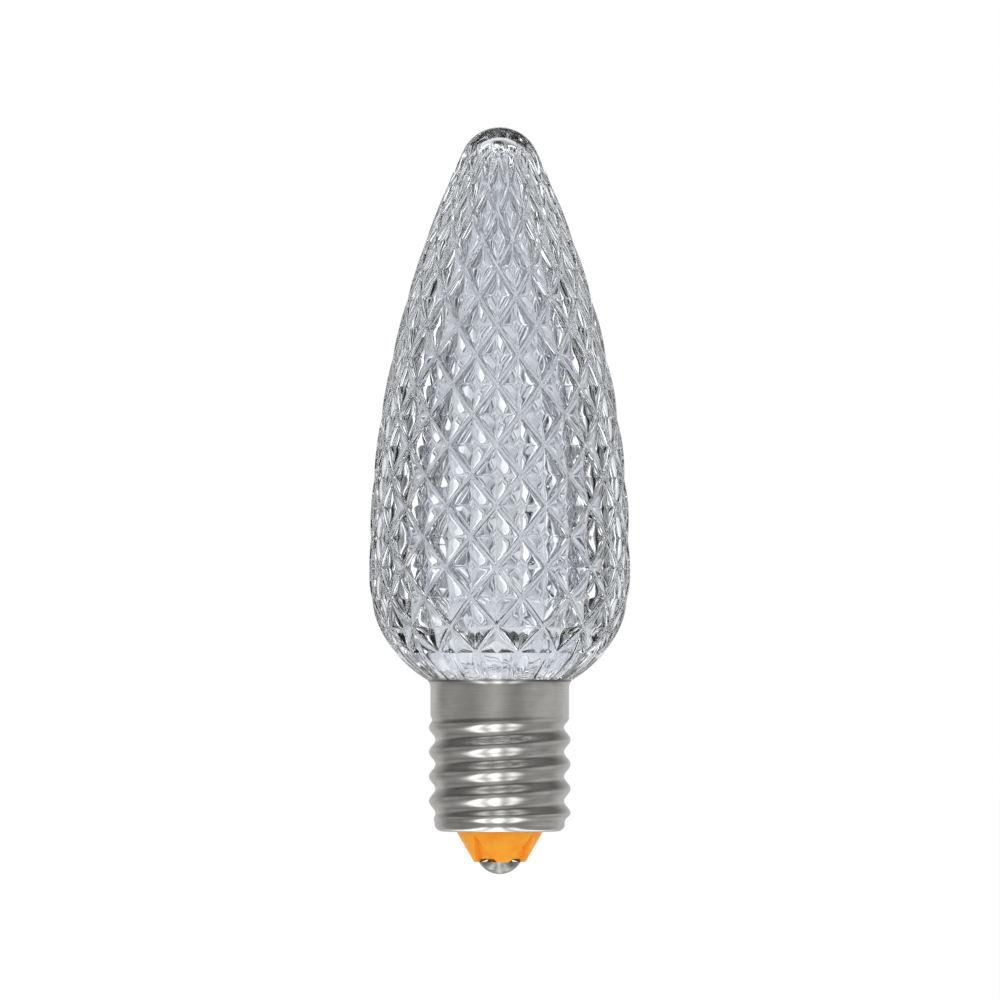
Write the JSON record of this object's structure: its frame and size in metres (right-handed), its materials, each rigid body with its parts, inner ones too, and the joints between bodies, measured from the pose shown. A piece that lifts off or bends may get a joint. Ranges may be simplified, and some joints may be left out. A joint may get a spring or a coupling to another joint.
{
  "type": "christmas light bulb",
  "caption": "Retrofit string-light bulb: cone-shaped clear lens with a raised diamond lattice, on a nickelled screw cap with an amber insulator and a domed centre contact.",
  "frame": {"origin": "on the bulb's axis, at the bottom of the centre contact's dome", "axes": "+Z along the axis from the contact to the lens tip; +X to the right and +Y away from the viewer in the picture's view"},
  "size_m": [0.03, 0.03, 0.0859],
  "materials": {
    "clear_lens": "clear polycarbonate, polished facets",
    "nickel_shell": "nickel-plated rolled sheet, satin",
    "amber_insulator": "translucent amber plastic",
    "contact_metal": "bare stamped metal",
    "board": "white solder mask",
    "led_package": "moulded white with clear fill",
    "rectifier_body": "moulded black",
    "resistor_body": "glazed black with tinned ends",
    "tinned_lead": "tinned wire",
    "solder": "solder"
  },
  "bodies": {
    "root": {"faceted_lens": "clear_lens", "screw_shell": "nickel_shell", "base_insulator": "amber_insulator", "centre_contact": "contact_metal", "circuit_board": "board", "led_1": "led_package", "led_2": "led_package", "led_3": "led_package", "led_4": "led_package", "led_5": "led_package", "bridge_rectifier": "rectifier_body", "dropping_resistor_1": "resistor_body", "dropping_resistor_2": "resistor_body", "side_lead": "tinned_lead", "centre_lead": "tinned_lead", "contact_solder": "solder"}
  },
  "joints": []
}
